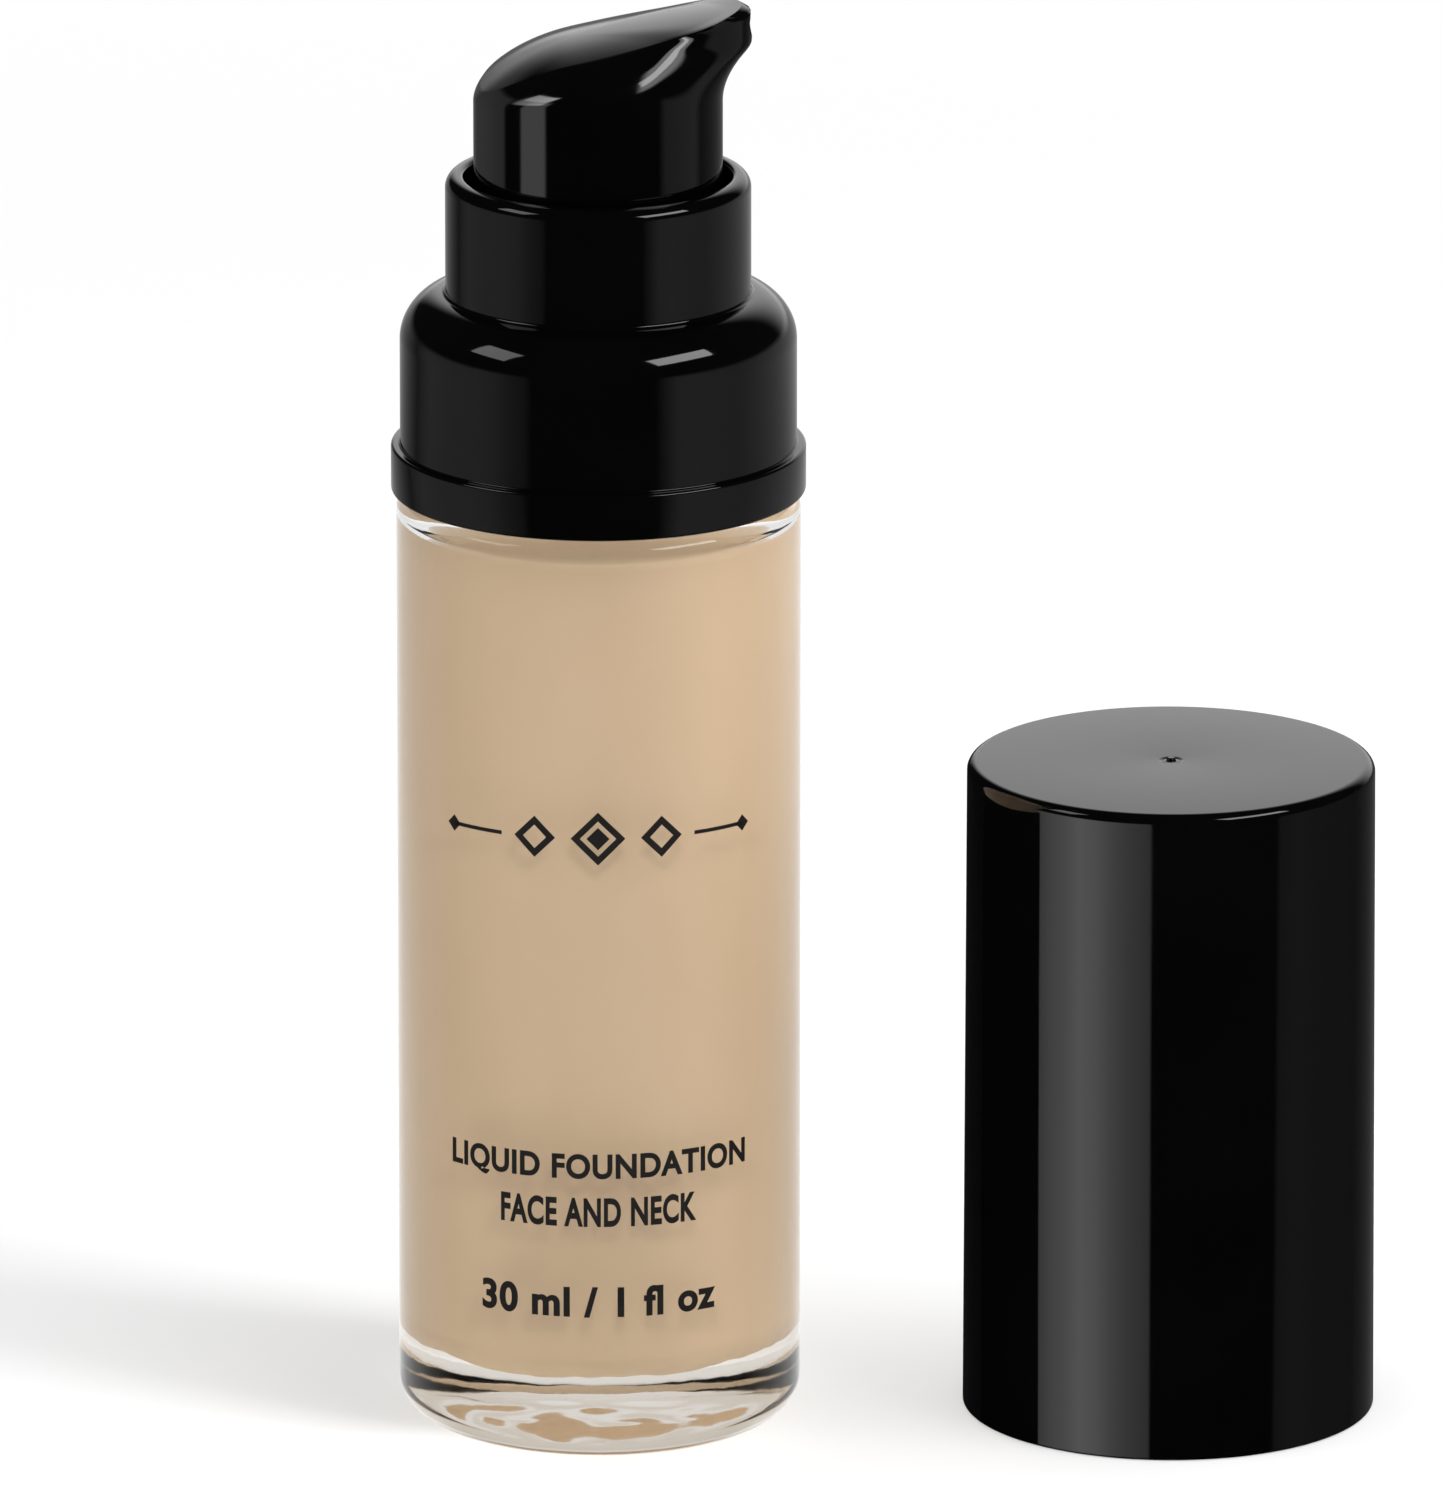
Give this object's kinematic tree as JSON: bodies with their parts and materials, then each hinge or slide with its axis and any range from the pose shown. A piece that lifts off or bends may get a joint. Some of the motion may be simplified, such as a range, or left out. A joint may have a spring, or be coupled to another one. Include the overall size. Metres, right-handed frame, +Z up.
{
  "type": "foundation bottle",
  "caption": "Round glass foundation bottle with a press-down treatment pump, stepped collar, spouted head and a separate round overcap standing beside it.",
  "frame": {"origin": "centre of the bottle's base, on the surface that it stands on", "axes": "+Z up along the bottle's axis, +X towards the pump's spout and the overcap that stands beside the bottle, +Y away from the printed front"},
  "size_m": [0.0758, 0.0333, 0.1121],
  "materials": {
    "glass_clear": "clear, polished",
    "cream_beige": "opaque beige cream, soft sheen",
    "collar_black": "high gloss black",
    "head_black": "high gloss black",
    "cap_black": "high gloss black",
    "closure_black": "moulded, satin",
    "gasket_white": "foamed polyethylene",
    "housing_natural": "natural polypropylene",
    "guide_natural": "natural polypropylene",
    "stem_natural": "natural polypropylene",
    "seat_natural": "natural polypropylene",
    "piston_natural": "soft polyethylene",
    "tube_natural": "extruded polyethylene",
    "spring_steel": "drawn stainless wire",
    "ball_steel": "polished"
  },
  "bodies": {
    "bottle": {"glass_bottle": "glass_clear", "cream_fill": "cream_beige"},
    "pump_core": {"pump_housing": "housing_natural", "housing_cap": "guide_natural", "neck_gasket": "gasket_white", "dip_tube": "tube_natural", "return_spring": "spring_steel"},
    "collar": {"outer_collar": "collar_black", "screw_closure": "closure_black"},
    "stem": {"pump_stem": "stem_natural", "piston_seat": "seat_natural"},
    "head": {"actuator_head": "head_black"},
    "sliding_piston": {"piston": "piston_natural"},
    "valve_ball": {"check_ball": "ball_steel"},
    "cap": {"overcap": "cap_black"}
  },
  "joints": [
    {"name": "pump_rise", "type": "slide", "parent": "bottle", "child": "pump_core", "axis": [0, 0, 1], "range_m": [0, 0.00477]},
    {"name": "closure_turn", "type": "hinge", "parent": "pump_core", "child": "collar", "pos_m": [0, 0, 0.0737], "axis": [0, 0, 1], "range_deg": [0, 540]},
    {"name": "head_press", "type": "slide", "parent": "pump_core", "child": "stem", "axis": [0, 0, -1], "range_m": [0, 0.0055], "stiffness_N_per_m": 1000, "springref_m": -0.006, "deforming": ["return_spring"]},
    {"name": "head_turn", "type": "hinge", "parent": "stem", "child": "head", "pos_m": [0, 0, 0.0935], "axis": [0, 0, 1], "continuous": true},
    {"name": "piston_shift", "type": "slide", "parent": "stem", "child": "sliding_piston", "axis": [0, 0, 1], "range_m": [0, 0.0007]},
    {"name": "ball_lift", "type": "slide", "parent": "pump_core", "child": "valve_ball", "axis": [0, 0, 1], "range_m": [0, 0.001]},
    {"name": "cap_lift", "type": "slide", "parent": "bottle", "child": "cap", "axis": [0, 0, 1], "range_m": [0, 0.12]}
  ],
  "couplings": [
    {"joint": "pump_rise", "follows": "closure_turn", "m_per_rad": 0.00050532}
  ]
}
